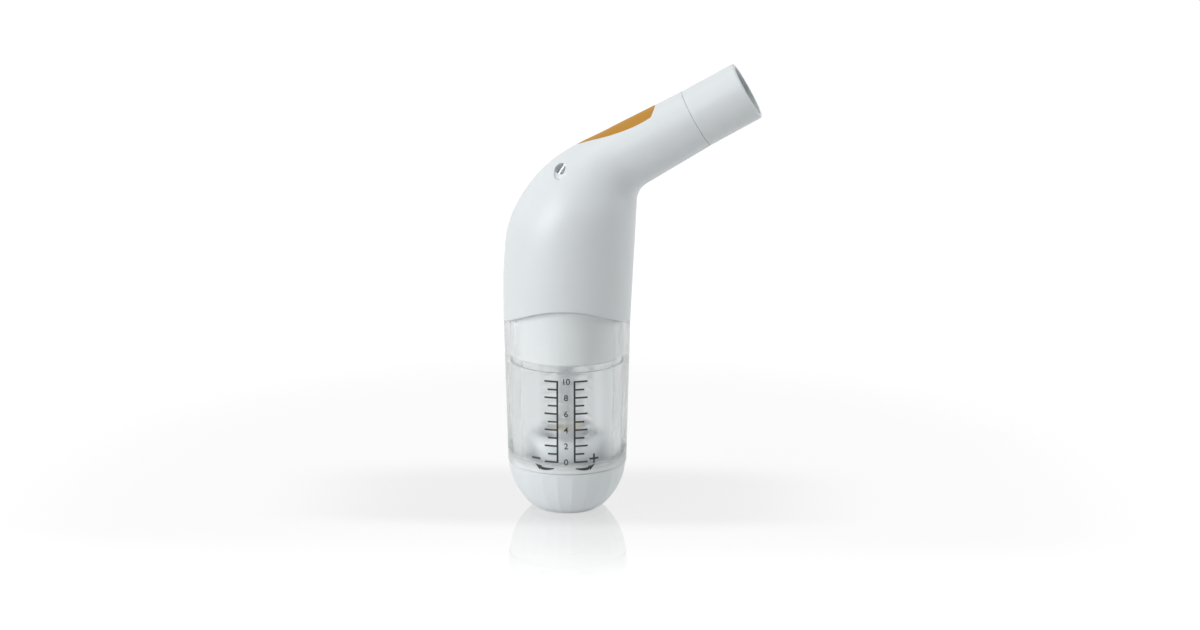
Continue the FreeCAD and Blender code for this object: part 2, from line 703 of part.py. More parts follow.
def flap_retainer():
    return tube_shape(RETAINER_RADIUS, BOSS_RADIUS, RETAINER_Z, RETAINER_THICKNESS)


# Spindle and what it carries

def spindle():
    """Driving hexagon at the foot, round screw stem, shoulder, journal and clip groove."""
    stem_foot = KNOB_HUB_TOP_Z + 2 * LOOSE_GAP
    clip_top = CLIP_Z + CLIP_THICKNESS
    groove_radius = JOURNAL_RADIUS - CLIP_GROOVE_DEPTH
    drive = hexagon(SPINDLE_FLATS, SPINDLE_FOOT_Z, stem_foot - SPINDLE_FOOT_Z)
    stem = disc(SPINDLE_RADIUS, stem_foot, SHOULDER_Z - stem_foot)
    journal = disc(JOURNAL_RADIUS, SHOULDER_Z, clip_top + SPINDLE_END_LENGTH - SHOULDER_Z)
    groove = tube_shape(JOURNAL_RADIUS + 1, groove_radius, CLIP_Z, CLIP_THICKNESS)
    return fuse_all([drive, stem, journal]).cut(groove)


def spindle_clip():
    """An open retaining ring in the groove above the poppet."""
    ring = tube_shape(CLIP_RADIUS, JOURNAL_RADIUS - CLIP_GROOVE_DEPTH, CLIP_Z, CLIP_THICKNESS)
    mouth = Part.makeBox(CLIP_RADIUS + 1, JOURNAL_RADIUS, CLIP_THICKNESS,
                         Vec(0, -JOURNAL_RADIUS / 2, CLIP_Z))
    return ring.cut(mouth)


def thrust_washer():
    return tube_shape(SPINDLE_RADIUS, JOURNAL_RADIUS + FIT_GAP, SHOULDER_Z, WASHER_THICKNESS)


# Load nut, spring and cups

def load_nut():
    hub_top = NUT_FOOT_Z + NUT_HUB_HEIGHT
    floor_top = NUT_FOOT_Z + NUT_FLOOR
    cup = turned([
        (INSERT_RADIUS, NUT_FOOT_Z),
        (NUT_RADIUS, NUT_FOOT_Z),
        (NUT_RADIUS, NUT_FOOT_Z + NUT_HEIGHT),
        (NUT_RADIUS - NUT_CUP_WALL, NUT_FOOT_Z + NUT_HEIGHT),
        (NUT_RADIUS - NUT_CUP_WALL, floor_top),
        (NUT_HUB_RADIUS, floor_top),
        (NUT_HUB_RADIUS, hub_top),
        (INSERT_RADIUS, hub_top),
    ])
    wing = Part.makeBox(WING_REACH - NUT_RADIUS + NUT_CUP_WALL / 2, WING_WIDTH, WING_HEIGHT,
                        Vec(NUT_RADIUS - NUT_CUP_WALL / 2, -WING_WIDTH / 2, NUT_FOOT_Z + LOOSE_GAP))
    return fuse_all([cup] + around(wing, 2))


def nut_insert():
    bore = SPINDLE_RADIUS + RUNNING_GAP
    hub_top = NUT_FOOT_Z + NUT_HUB_HEIGHT
    barrel = tube_shape(INSERT_RADIUS, bore, NUT_FOOT_Z, NUT_HUB_HEIGHT)
    flange = tube_shape(INSERT_FLANGE_RADIUS, bore, hub_top, INSERT_FLANGE_THICKNESS)
    return fuse_all([barrel, flange])


def spring_cup(seat_z, lip_way):
    """A flat ring with a lip that centres the spring; the lip goes up or down from the seat."""
    lip_outer = SPRING_RADIUS - WIRE_RADIUS - 2 * LOOSE_GAP
    flat_outer = NUT_RADIUS - NUT_CUP_WALL - LOOSE_GAP
    flat_inner = lip_outer - CUP_LIP_WALL
    flat_z = seat_z if lip_way < 0 else seat_z - CUP_THICKNESS
    lip_z = seat_z - CUP_LIP_HEIGHT if lip_way < 0 else seat_z
    flat = tube_shape(flat_outer, flat_inner, flat_z, CUP_THICKNESS)
    lip = tube_shape(lip_outer, flat_inner, lip_z, CUP_LIP_HEIGHT)
    return fuse_all([flat, lip])


def load_spring():
    """The coil between the two cups, swept with a many-sided wire."""
    low = LOWER_CUP_TOP_Z + WIRE_RADIUS
    high = UPPER_CUP_FOOT_Z - WIRE_RADIUS
    path = Part.makeHelix(SPRING_PITCH, high - low, SPRING_RADIUS)
    corners = []
    for index in range(WIRE_SIDES + 1):
        angle = 2 * math.pi * index / WIRE_SIDES + math.pi / 2
        corners.append(Vec(SPRING_RADIUS + WIRE_RADIUS * math.cos(angle), 0, WIRE_RADIUS * math.sin(angle)))
    wire = Part.makePolygon(corners)
    coil = path.makePipeShell([wire], True, True)
    coil.translate(Vec(0, 0, low))
    return coil


# Tension knob

def knob_arc(inset):
    """The bowl's outline as an arc, drawn in by inset, from the rim down."""
    rim = Vec(KNOB_RIM_RADIUS, 0, KNOB_RIM_Z)
    middle = Vec(KNOB_MIDDLE_RADIUS, 0, KNOB_MIDDLE_Z)
    low = Vec(KNOB_LOW_RADIUS, 0, KNOB_LOW_Z)
    circle = Part.Circle(rim, middle, low)
    centre = circle.Center
    points = []
    for point in (rim, middle, low):
        points.append(centre + (point - centre).normalize() * (circle.Radius - inset))
    return points


def knob_bowl():
    """A bowl with curved flats all round for grip, and a round lip at its rim."""
    rim, middle, low = knob_arc(0.0)
    rim_start = Vec(rim.x - KNOB_RIM_DRAFT, 0, rim.z - KNOB_RIM_EDGE)
    rim_inner = Vec(rim.x - KNOB_RIM_EDGE, 0, rim.z)
    foot = Vec(KNOB_FOOT_RADIUS, 0, 0)

    def other_side(point):
        return Vec(-point.x, 0, point.z)

    edges = [
        Part.LineSegment(other_side(foot), foot).toShape(),
        Part.LineSegment(foot, low).toShape(),
        Part.Arc(low, middle, rim_start).toShape(),
        Part.LineSegment(rim_start, rim_inner).toShape(),
        Part.LineSegment(rim_inner, other_side(rim_inner)).toShape(),
        Part.LineSegment(other_side(rim_inner), other_side(rim_start)).toShape(),
        Part.Arc(other_side(rim_start), other_side(middle), other_side(low)).toShape(),
        Part.LineSegment(other_side(low), other_side(foot)).toShape(),
    ]
    width = 3 * KNOB_RIM_RADIUS
    slab = Part.Face(Part.Wire(edges)).extrude(Vec(0, width, 0))
    slab.translate(Vec(0, -width / 2, 0))
    turned_slabs = around(slab, KNOB_FLAT_COUNT)[:KNOB_FLAT_COUNT // 2]
    bowl = turned_slabs[0]
    for turned_slab in turned_slabs[1:]:
        bowl = bowl.common(turned_slab)
    lip = disc(KNOB_LIP_RADIUS, KNOB_RIM_Z - KNOB_LIP_HEIGHT, KNOB_LIP_HEIGHT)
    lip = lip.makeChamfer(KNOB_RIM_EDGE / 2, [lip.Edges[0]])
    return fuse_all([bowl, lip])


def knob_hollow():
    """The room in the knob: the bore for the chamber's collar and the bowl below it."""
    rim, middle, low = knob_arc(KNOB_WALL)
    bore_foot = Vec(KNOB_BORE_RADIUS, 0, KNOB_BORE_FOOT_Z)
    bowl_top = Vec(middle.x - LOOSE_GAP, 0, middle.z)
    bowl_low = Vec(low.x - KNOB_WALL / 2, 0, KNOB_FLOOR)
    bowl_mid = (bowl_top + bowl_low) * 0.5 + Vec(KNOB_WALL / 4, 0, -KNOB_WALL / 4)
    edges = [
        Part.LineSegment(Vec(0, 0, KNOB_FLOOR), bowl_low).toShape(),
        Part.Arc(bowl_low, bowl_mid, bowl_top).toShape(),
        Part.LineSegment(bowl_top, bore_foot).toShape(),
        Part.LineSegment(bore_foot, Vec(KNOB_BORE_RADIUS, 0, KNOB_RIM_Z + 1)).toShape(),
        Part.LineSegment(Vec(KNOB_BORE_RADIUS, 0, KNOB_RIM_Z + 1), Vec(0, 0, KNOB_RIM_Z + 1)).toShape(),
        Part.LineSegment(Vec(0, 0, KNOB_RIM_Z + 1), Vec(0, 0, KNOB_FLOOR)).toShape(),
    ]
    return Part.Face(Part.Wire(edges)).revolve(Vec(0, 0, 0), UP, 360)


def vent_slot():
    """One curved inlet slot through the knob's floor."""
    ring = tube_shape(VENT_OUTER_RADIUS, VENT_INNER_RADIUS, -1, KNOB_FLOOR + 2)
    half = math.radians(VENT_SPAN_DEG / 2)
    reach = VENT_OUTER_RADIUS + 2
    corners = [
        Vec(0, 0, -1),
        Vec(reach * math.cos(half), -reach * math.sin(half), -1),
        Vec(reach * math.cos(half), reach * math.sin(half), -1),
    ]
    wedge = Part.Face(Part.makePolygon(corners + corners[:1])).extrude(Vec(0, 0, KNOB_FLOOR + 2))
    return ring.common(wedge)


def tension_knob():
    hub_radius = SOCKET_RADIUS + KNOB_HUB_WALL
    bowl = knob_bowl().cut(knob_hollow())
    hub = disc(hub_radius, KNOB_FLOOR, KNOB_HUB_TOP_Z - KNOB_FLOOR)
    bowl = fuse_all([bowl, hub])
    bowl = bowl.cut(disc(SOCKET_RADIUS, KNOB_FLOOR, KNOB_HUB_TOP_Z))
    bowl = cut_all(bowl, around(vent_slot(), VENTS, 30))
    groove = tube_shape(SNAP_RING_OUTER + LOOSE_GAP, KNOB_BORE_RADIUS - 1, SNAP_RING_Z - LOOSE_GAP,
                        SNAP_RING_HEIGHT + 2 * LOOSE_GAP)
    return bowl.cut(groove)


def knob_socket():
    """The insert whose six-sided hole turns the spindle."""
    height = KNOB_HUB_TOP_Z - KNOB_FLOOR
    block = disc(SOCKET_RADIUS, KNOB_FLOOR, height)
    return block.cut(hexagon(SPINDLE_FLATS + 2 * LOOSE_GAP, KNOB_FLOOR - 1, height + 2))


def retaining_ring():
    ring = tube_shape(SNAP_RING_OUTER, SNAP_RING_INNER, SNAP_RING_Z, SNAP_RING_HEIGHT)
    half = math.radians(SNAP_RING_GAP_DEG / 2)
    reach = SNAP_RING_OUTER + 2
    corners = [
        Vec(0, 0, SNAP_RING_Z - 1),
        Vec(-reach * math.sin(half), reach * math.cos(half), SNAP_RING_Z - 1),
        Vec(reach * math.sin(half), reach * math.cos(half), SNAP_RING_Z - 1),
    ]
    wedge = Part.Face(Part.makePolygon(corners + corners[:1])).extrude(Vec(0, 0, SNAP_RING_HEIGHT + 2))
    return ring.cut(wedge)


def knob_friction_ring():
    return seal_ring(COLLAR_RADIUS, DRAG_RING_SECTION, DRAG_RING_Z)


def all_parts():
    return {
        "head_cover": head_cover(),
        "grip_inlay": grip_inlay(),
        "lanyard_pin": lanyard_pin(),
        "mouth_tube": mouth_tube(),
        "tube_seal": tube_seal(),
        "chamber": chamber(),
        "spindle_guide": spindle_guide(),
        "valve_body": valve_body(),
        "head_seal": head_seal(),
        "chamber_seal": chamber_seal(),
        "seat_gasket": seat_gasket(),
        "poppet": poppet(),
        "exhale_flap": exhale_flap(),
        "flap_retainer": flap_retainer(),
        "spindle": spindle(),
        "spindle_clip": spindle_clip(),
        "thrust_washer": thrust_washer(),
        "load_nut": load_nut(),
        "nut_insert": nut_insert(),
        "spring_cup_upper": spring_cup(UPPER_CUP_FOOT_Z, -1),
        "spring_cup_lower": spring_cup(LOWER_CUP_TOP_Z, 1),
        "load_spring": load_spring(),
        "tension_knob": tension_knob(),
        "knob_socket": knob_socket(),
        "retaining_ring": retaining_ring(),
        "knob_friction_ring": knob_friction_ring(),
    }


os.makedirs("parts", exist_ok=True)
for name, shape in all_parts().items():
    shape.exportStep("parts/" + name + ".step")
    solids = len(shape.Solids)
    print(name, "solids", solids, "valid", shape.isValid(), "volume mm3", round(shape.Volume, 1))
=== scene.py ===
import json
import math

import bmesh
import bpy
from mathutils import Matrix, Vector

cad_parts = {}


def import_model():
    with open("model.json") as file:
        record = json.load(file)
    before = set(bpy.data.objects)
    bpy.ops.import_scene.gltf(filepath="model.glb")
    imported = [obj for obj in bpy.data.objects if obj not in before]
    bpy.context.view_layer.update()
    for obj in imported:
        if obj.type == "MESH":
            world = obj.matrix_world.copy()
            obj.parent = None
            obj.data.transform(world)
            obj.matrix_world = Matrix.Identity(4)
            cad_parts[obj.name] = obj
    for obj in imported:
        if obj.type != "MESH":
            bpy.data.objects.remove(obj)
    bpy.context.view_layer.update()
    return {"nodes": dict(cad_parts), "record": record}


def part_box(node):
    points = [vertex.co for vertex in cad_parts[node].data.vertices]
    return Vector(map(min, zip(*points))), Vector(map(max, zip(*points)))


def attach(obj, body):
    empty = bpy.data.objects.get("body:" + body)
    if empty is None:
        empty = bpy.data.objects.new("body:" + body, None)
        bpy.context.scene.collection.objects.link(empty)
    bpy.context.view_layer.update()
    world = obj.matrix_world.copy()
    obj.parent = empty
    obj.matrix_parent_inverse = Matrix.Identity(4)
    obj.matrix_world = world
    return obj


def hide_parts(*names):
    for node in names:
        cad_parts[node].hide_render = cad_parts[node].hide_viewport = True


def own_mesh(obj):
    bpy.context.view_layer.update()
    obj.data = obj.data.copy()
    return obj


# A hand-held breathing trainer on a glossy white surface, in metres.
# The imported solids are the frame. This script adds materials, print, thread, spring, floor,
# lights and camera.

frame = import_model()
nodes = frame["nodes"]
MM = 0.001

# Camera, from the photograph's viewing angle
CAMERA_AZIMUTH_DEG = 2.0
CAMERA_ELEVATION_DEG = 14.5
CAMERA_DISTANCE = 1.35
CAMERA_TARGET = Vector((0.01203, 0.0, 0.07226))
SENSOR_WIDTH = 36.0
LENS = 110.97
CAMERA_CLIP_END = 50.0

# Printed scale on the chamber's front
MARKS = 11
MARK_PITCH = 3.05 * MM
ZERO_MARK_Z = 22.6 * MM
SCALE_SHIFT = 0.5 * MM
RULE_OFFSET = 3.12 * MM
RULE_BELOW = 0.3 * MM
RULE_WIDTH = 0.7 * MM
MARK_WIDTH = 0.66 * MM
LONG_MARK_REACH = 7.95 * MM
SHORT_MARK_REACH = 6.7 * MM
NUMBER_HEIGHT = 2.3 * MM
NUMBER_WEIGHT = 0.05 * MM
NUMBER_SPACING = 0.95
DIGIT_SHARE = 0.72
SIGN_OFFSET = 10.95 * MM
SIGN_Z = 23.5 * MM
SIGN_SIZE = 3.6 * MM
SIGN_WIDTH = 0.72 * MM
ARROW_START = 4.0 * MM
ARROW_LOW_X = 7.3 * MM
ARROW_LOW_Z = 19.75 * MM
ARROW_END = 11.4 * MM
ARROW_START_RISE = 0.35 * MM
ARROW_END_RISE = 1.55 * MM
ARROW_WIDTH = 1.15 * MM
ARROW_HEAD = 2.4 * MM
ARROW_HEAD_WIDTH = 1.9 * MM
ARROW_STEPS = 18
ARROW_TAIL_SHARE = 0.35
INK_GAP = 0.01 * MM
INK_THICKNESS = 0.03 * MM
INK_STEP = 0.4 * MM

# Spindle and its screw thread
SPINDLE_EDGE = 0.3 * MM
DRIVE_FLATS = 5.0 * MM
DRIVE_CORNER_RADIUS = 2.8 * MM
DRIVE_CLEARANCE = 0.2 * MM
JOURNAL_STEP = 1.5 * MM
CLIP_GROOVE_DEPTH = 0.5 * MM
THREAD_LEAD = 3.05 * MM
THREAD_DEPTH = 0.85 * MM
THREAD_LAND = 0.38
THREAD_FLANK = 0.24
THREAD_FOOT = 18.4 * MM
THREAD_TOP = 63.5 * MM
THREAD_RUNOUT = 1.5 * MM
RING_STEP = 0.25 * MM
RING_SIDES = 48
SPINDLE_SHARP_DEG = 35

# Load spring
SPRING_WIRE = 1.1 * MM
SPRING_PITCH = 3.5 * MM
SPRING_WIRE_SIDES = 10
SPRING_STEPS_PER_TURN = 40
SPRING_CLOSED_TURNS = 1.0
SPRING_TOP_LENGTH = 7.5 * MM
SPRING_SHARP_DEG = 50

# Clear wall of the chamber: how much each of its faces hides, and how it bends and tints light
CLEAR_OUTER_ALPHA = 0.07
CLEAR_INNER_ALPHA = 0.84
CLEAR_SLEEVE_ALPHA = 0.08
CLEAR_FOOT_ALPHA = 0.92
CLEAR_FOOT_HEIGHT = 6.5 * MM
CLEAR_GLANCE_RANGE = (0.3, 0.9)
CLEAR_GLANCE_ALPHA = 0.75
# Colour factor at grazing angles: painted shade that darkens the clear wall where it is seen
# edge-on
CLEAR_GLANCE_SHADE = 0.7
CLEAR_TRANSMISSION = 0.7
CLEAR_FROST = 0.25
CLEAR_IOR = 1.2
WALL_INSIDE_DEPTH = (0.5 * MM, 1.0 * MM)

PLASTIC_IOR = 1.49
BUMP_STRENGTH = 0.6
NOISE_LOW = 0.3
NOISE_HIGH = 0.7


def wall_cone():
    """Radius at height zero and slope of the chamber's tapered outside, read from its mesh."""
    points = [v.co for v in nodes["chamber"].data.vertices]
    widest = max(points, key=lambda p: p.xy.length)
    foot_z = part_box("chamber")[0].z
    collar_radius = max(p.xy.length for p in points if p.z < foot_z + MM)
    outside = [p for p in points if p.xy.length > collar_radius + 2 * MM]
    lowest = min(outside, key=lambda p: p.z)
    slope = (widest.xy.length - lowest.xy.length) / (widest.z - lowest.z)
    return lowest.xy.length - slope * lowest.z, slope


CONE_RADIUS, CONE_SLOPE = wall_cone()


# Materials

def new_material(name):
    material = bpy.data.materials.new(name)
    material.use_nodes = True
    return material, material.node_tree.nodes, material.node_tree.links


def noise(nodes_, links, coords, scale_mm, detail=3.0, stretch=(1, 1, 1)):
    """Noise whose features are about scale_mm wide, in the row's own frame."""
    mapping = nodes_.new("ShaderNodeMapping")
    mapping.inputs["Scale"].default_value = stretch
    links.new(coords.outputs["Object"], mapping.inputs["Vector"])
    texture = nodes_.new("ShaderNodeTexNoise")
    texture.inputs["Scale"].default_value = 1.0 / (scale_mm * MM)
    texture.inputs["Detail"].default_value = detail
    links.new(mapping.outputs["Vector"], texture.inputs["Vector"])
    return texture


def between(nodes_, links, source, low, high):
    """Maps noise, which mostly lies from NOISE_LOW to NOISE_HIGH, to the range from low to high."""
    ranged = nodes_.new("ShaderNodeMapRange")
    ranged.inputs["From Min"].default_value = NOISE_LOW
    ranged.inputs["From Max"].default_value = NOISE_HIGH
    ranged.inputs["To Min"].default_value = low
    ranged.inputs["To Max"].default_value = high
    links.new(source, ranged.inputs["Value"])
    return ranged.outputs["Result"]


def two_tones(nodes_, links, source, first, second):
    """Mixes two colours by the source."""
    mix = nodes_.new("ShaderNodeMix")
    mix.data_type = "RGBA"
    mix.inputs["A"].default_value = (*first, 1.0)
    mix.inputs["B"].default_value = (*second, 1.0)
    links.new(source, mix.inputs["Factor"])
    return mix.outputs["Result"]


def bumps(nodes_, links, heights):
    """Chains (height output, distance) pairs into one normal."""
    normal = None
    for height, distance in heights:
        bump = nodes_.new("ShaderNodeBump")
        bump.inputs["Distance"].default_value = distance
        bump.inputs["Strength"].default_value = BUMP_STRENGTH
        links.new(height, bump.inputs["Height"])
        if normal is not None:
            links.new(normal, bump.inputs["Normal"])
        normal = bump.outputs["Normal"]
    return normal


def shifted(colour, amount):
    """The colour, lighter or darker by a factor."""
    return tuple(min(1.0, channel * amount) for channel in colour)


def moulded_plastic(name, colour, roughness, grain_mm=0.35, grain_depth=0.004, specular=0.5):
    """Moulded plastic: a fine spark-eroded grain, slow colour drift and uneven gloss."""
    material, nodes_, links = new_material(name)
    shader = nodes_["Principled BSDF"]
    coords = nodes_.new("ShaderNodeTexCoord")
    grain = noise(nodes_, links, coords, grain_mm, 4.0)
    flow = noise(nodes_, links, coords, 9.0, 2.0, (1, 1, 0.4))
    dark, light = shifted(colour, 0.985), shifted(colour, 1.01)
    tone = two_tones(nodes_, links, flow.outputs["Fac"], dark, light)
    links.new(tone, shader.inputs["Base Color"])
    rough = between(nodes_, links, flow.outputs["Fac"], roughness * 0.92, roughness * 1.08)
    links.new(rough, shader.inputs["Roughness"])
    normal = bumps(nodes_, links, [
        (flow.outputs["Fac"], 0.02 * MM),
        (grain.outputs["Fac"], grain_depth * MM),
    ])
    links.new(normal, shader.inputs["Normal"])
    shader.inputs["IOR"].default_value = PLASTIC_IOR
    shader.inputs["Specular IOR Level"].default_value = specular
    return material


def math_node(nodes_, links, operation, first, second):
    """A math node whose first two inputs are outputs or plain numbers."""
    step = nodes_.new("ShaderNodeMath")
    step.operation = operation
    for socket, value in zip(step.inputs, (first, second)):
        if isinstance(value, (int, float)):
            socket.default_value = value
        else:
            links.new(value, socket)
    return step.outputs[0]


def eased(nodes_, links, source, start, end, low=0.0, high=1.0):
    """Goes smoothly from low to high as the source goes from start to end."""
    ranged = nodes_.new("ShaderNodeMapRange")
    ranged.interpolation_type = "SMOOTHSTEP"
    ranged.inputs["From Min"].default_value = start
    ranged.inputs["From Max"].default_value = end
    ranged.inputs["To Min"].default_value = low
    ranged.inputs["To Max"].default_value = high
    links.new(source, ranged.inputs["Value"])
    return ranged.outputs["Result"]


def clear_plastic():
    """Clear moulded plastic: polished outside, frosted by its mould inside, dense at its foot, with
    painted shade darkening its colour where it is seen edge-on.
    """
    material, nodes_, links = new_material("clear_plastic")
    shader = nodes_["Principled BSDF"]
    coords = nodes_.new("ShaderNodeTexCoord")
    flow = noise(nodes_, links, coords, 14.0, 2.0, (1, 1, 0.3))
    haze = noise(nodes_, links, coords, 0.5, 3.0)
    tone = two_tones(nodes_, links, flow.outputs["Fac"], (0.88, 0.905, 0.915), (0.91, 0.935, 0.945))
    # The base colour is darkened where the wall is seen edge-on: painted shade
    facing = nodes_.new("ShaderNodeLayerWeight")
    facing.inputs["Blend"].default_value = 0.5
    glance = eased(nodes_, links, facing.outputs["Facing"], *CLEAR_GLANCE_RANGE)
    edge = nodes_.new("ShaderNodeMix")
    edge.data_type = "RGBA"
    edge.blend_type = "MULTIPLY"
    edge.inputs["B"].default_value = (CLEAR_GLANCE_SHADE, CLEAR_GLANCE_SHADE, CLEAR_GLANCE_SHADE, 1.0)
    links.new(glance, edge.inputs["Factor"])
    links.new(tone, edge.inputs["A"])
    links.new(edge.outputs["Result"], shader.inputs["Base Color"])
    rough = between(nodes_, links, haze.outputs["Fac"], 0.09, 0.15)
    place = nodes_.new("ShaderNodeSeparateXYZ")
    links.new(coords.outputs["Object"], place.inputs[0])
    reach = math_node(nodes_, links, "SQRT", math_node(
        nodes_, links, "ADD",
        math_node(nodes_, links, "POWER", place.outputs["X"], 2.0),
        math_node(nodes_, links, "POWER", place.outputs["Y"], 2.0)), 0.0)
    wall = math_node(nodes_, links, "MULTIPLY_ADD", place.outputs["Z"], CONE_SLOPE)
    wall.node.inputs[2].default_value = CONE_RADIUS
    depth = math_node(nodes_, links, "SUBTRACT", wall, reach)
    inside = eased(nodes_, links, depth, *WALL_INSIDE_DEPTH)
    frosted = math_node(nodes_, links, "MULTIPLY_ADD", inside, CLEAR_FROST)
    links.new(rough, frosted.node.inputs[2])
    links.new(frosted, shader.inputs["Roughness"])
    foot_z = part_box("tension_knob")[1].z
    sleeve_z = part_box("valve_body")[0].z
    frost = eased(nodes_, links, place.outputs["Z"], sleeve_z - MM, sleeve_z, CLEAR_INNER_ALPHA,
                  CLEAR_SLEEVE_ALPHA)
    foot_top_z = foot_z + CLEAR_FOOT_HEIGHT
    foot = eased(nodes_, links, place.outputs["Z"], foot_z + MM, foot_top_z, 1.0, 0.0)
    base = math_node(nodes_, links, "MAXIMUM", CLEAR_OUTER_ALPHA, math_node(
        nodes_, links, "MULTIPLY", foot, CLEAR_FOOT_ALPHA))
    hidden = math_node(nodes_, links, "MAXIMUM", base, math_node(
        nodes_, links, "MULTIPLY", inside, frost))
    rim = math_node(nodes_, links, "MULTIPLY", glance, CLEAR_GLANCE_ALPHA)
    links.new(math_node(nodes_, links, "ADD", hidden, rim), shader.inputs["Alpha"])
    normal = bumps(nodes_, links, [(flow.outputs["Fac"], 0.03 * MM)])
    links.new(normal, shader.inputs["Normal"])
    shader.inputs["IOR"].default_value = CLEAR_IOR
    clear = math_node(nodes_, links, "SUBTRACT", 1.0, foot)
    passed = math_node(nodes_, links, "MULTIPLY", clear, CLEAR_TRANSMISSION)
    links.new(passed, shader.inputs["Transmission Weight"])
    return material


def drawn_metal(name, colour, roughness, stretch):
    """Metal with fine marks drawn out along the given axis."""
    material, nodes_, links = new_material(name)
    shader = nodes_["Principled BSDF"]
    coords = nodes_.new("ShaderNodeTexCoord")
    marks = noise(nodes_, links, coords, 0.25, 4.0, stretch)
    cloud = noise(nodes_, links, coords, 3.0, 2.0)
    dark, light = shifted(colour, 0.9), shifted(colour, 1.08)
    tone = two_tones(nodes_, links, cloud.outputs["Fac"], dark, light)
    links.new(tone, shader.inputs["Base Color"])
    rough = between(nodes_, links, marks.outputs["Fac"], roughness * 0.75, roughness * 1.3)
    links.new(rough, shader.inputs["Roughness"])
    normal = bumps(nodes_, links, [(marks.outputs["Fac"], 0.004 * MM)])
    links.new(normal, shader.inputs["Normal"])
    shader.inputs["Metallic"].default_value = 1.0
    return material


def soft_rubber():
    """Silicone with a faint, cloudy bloom."""
    material, nodes_, links = new_material("soft_silicone")
    shader = nodes_["Principled BSDF"]
    coords = nodes_.new("ShaderNodeTexCoord")
    bloom = noise(nodes_, links, coords, 1.2, 3.0)
    tone = two_tones(nodes_, links, bloom.outputs["Fac"], (0.66, 0.68, 0.68), (0.76, 0.78, 0.78))
    links.new(tone, shader.inputs["Base Color"])
    rough = between(nodes_, links, bloom.outputs["Fac"], 0.48, 0.66)
    links.new(rough, shader.inputs["Roughness"])
    normal = bumps(nodes_, links, [(bloom.outputs["Fac"], 0.01 * MM)])
    links.new(normal, shader.inputs["Normal"])
    return material


def black_ink():
    """Pad-printed ink, a little uneven in gloss and depth."""
    material, nodes_, links = new_material("black_ink")
    shader = nodes_["Principled BSDF"]
    coords = nodes_.new("ShaderNodeTexCoord")
    blot = noise(nodes_, links, coords, 0.6, 3.0)
    tone = two_tones(nodes_, links, blot.outputs["Fac"], (0.02, 0.022, 0.024), (0.035, 0.037, 0.04))
    links.new(tone, shader.inputs["Base Color"])
    rough = between(nodes_, links, blot.outputs["Fac"], 0.4, 0.55)
    links.new(rough, shader.inputs["Roughness"])
    return material


MATERIALS = {
    "shell_white": moulded_plastic("shell_white_plastic", (0.80, 0.835, 0.85), 0.38),
    "inlay_orange": moulded_plastic(
        "inlay_orange_plastic", (0.54, 0.26, 0.035), 0.5, 0.5, 0.006, 0.2),
    "clear": clear_plastic(),
    "inner_white": moulded_plastic("inner_white_plastic", (0.81, 0.84, 0.85), 0.48),
    "knob_grey": moulded_plastic("knob_plastic", (0.81, 0.85, 0.865), 0.5, 0.3, 0.006),
    "silicone": soft_rubber(),
    "steel": drawn_metal("turned_steel", (0.72, 0.73, 0.74), 0.3, (0.15, 0.15, 1)),
    "spring_steel": drawn_metal("spring_steel", (0.76, 0.77, 0.78), 0.24, (1, 1, 0.3)),
    "brass": drawn_metal("turned_brass", (0.72, 0.6, 0.36), 0.3, (0.15, 0.15, 1)),
}
INK = black_ink()


def dress_frame():
    """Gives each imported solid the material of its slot."""
    for part in frame["record"]["subparts"]:
        mesh = nodes[part["node"]].data
        mesh.materials.clear()
        mesh.materials.append(MATERIALS[part["material_slot"]])


def finish_piece(piece, body, material):
    """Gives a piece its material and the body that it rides."""
    piece.data.materials.clear()
    piece.data.materials.append(material)
    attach(piece, body)
    return piece


def piece_from_bmesh(name, shape, smooth_deg=None):
    """A new object from a bmesh, smooth except where faces meet at more than smooth_deg."""
    mesh = bpy.data.meshes.new(name)
    shape.to_mesh(mesh)
    shape.free()
    piece = bpy.data.objects.new(name, mesh)
    bpy.context.scene.collection.objects.link(piece)
    if smooth_deg is not None:
        for face in mesh.polygons:
            face.use_smooth = True
        mesh.set_sharp_from_angle(angle=math.radians(smooth_deg))
    return piece


# Printed scale

def onto_wall(flat):
    """Bends a flat drawing (x across, y up, z ink depth) round the chamber's front."""
    for vertex in flat.verts:
        across, up, lift = vertex.co
        radius = CONE_RADIUS + CONE_SLOPE * up
        angle = across / radius
        reach = radius + INK_GAP + lift
        vertex.co = Vector((reach * math.sin(angle), -reach * math.cos(angle), up))


def thicken(flat):
    """Gives flat ink its thickness."""
    grown = bmesh.ops.extrude_face_region(flat, geom=flat.faces[:])
    raised = [item for item in grown["geom"] if isinstance(item, bmesh.types.BMVert)]
    for vertex in raised:
        vertex.co.z += INK_THICKNESS
    bmesh.ops.recalc_face_normals(flat, faces=flat.faces[:])


def stroke(flat, path, widths):
    """A band of ink along a path of (x, y) points, with a width at each point."""
    pairs = []
    for index, (x, y) in enumerate(path):
        before = path[max(0, index - 1)]
        after = path[min(len(path) - 1, index + 1)]
        way = Vector((after[0] - before[0], after[1] - before[1])).normalized()
        side = Vector((-way.y, way.x)) * widths[index] / 2
        left = flat.verts.new((x + side.x, y + side.y, 0))
        right = flat.verts.new((x - side.x, y - side.y, 0))
        pairs.append((left, right))
    for (a, b), (c, d) in zip(pairs, pairs[1:]):
        flat.faces.new((a, b, d, c))


def straight(flat, start, end, width):
    """A straight band of ink, cut into short steps so that it bends with the wall."""
    length = math.dist(start, end)
    steps = max(1, round(length / INK_STEP))
    path = []
    for index in range(steps + 1):
        share = index / steps
        path.append(tuple(first + (last - first) * share for first, last in zip(start, end)))
    stroke(flat, path, [width] * len(path))


def print_ink(name, flat, shift=0.0):
    """Prints a flat drawing on the wall, moved across by shift."""
    bmesh.ops.translate(flat, verts=flat.verts[:], vec=(shift, 0, 0))
    thicken(flat)
    onto_wall(flat)
    return finish_piece(piece_from_bmesh(name, flat), "body", INK)


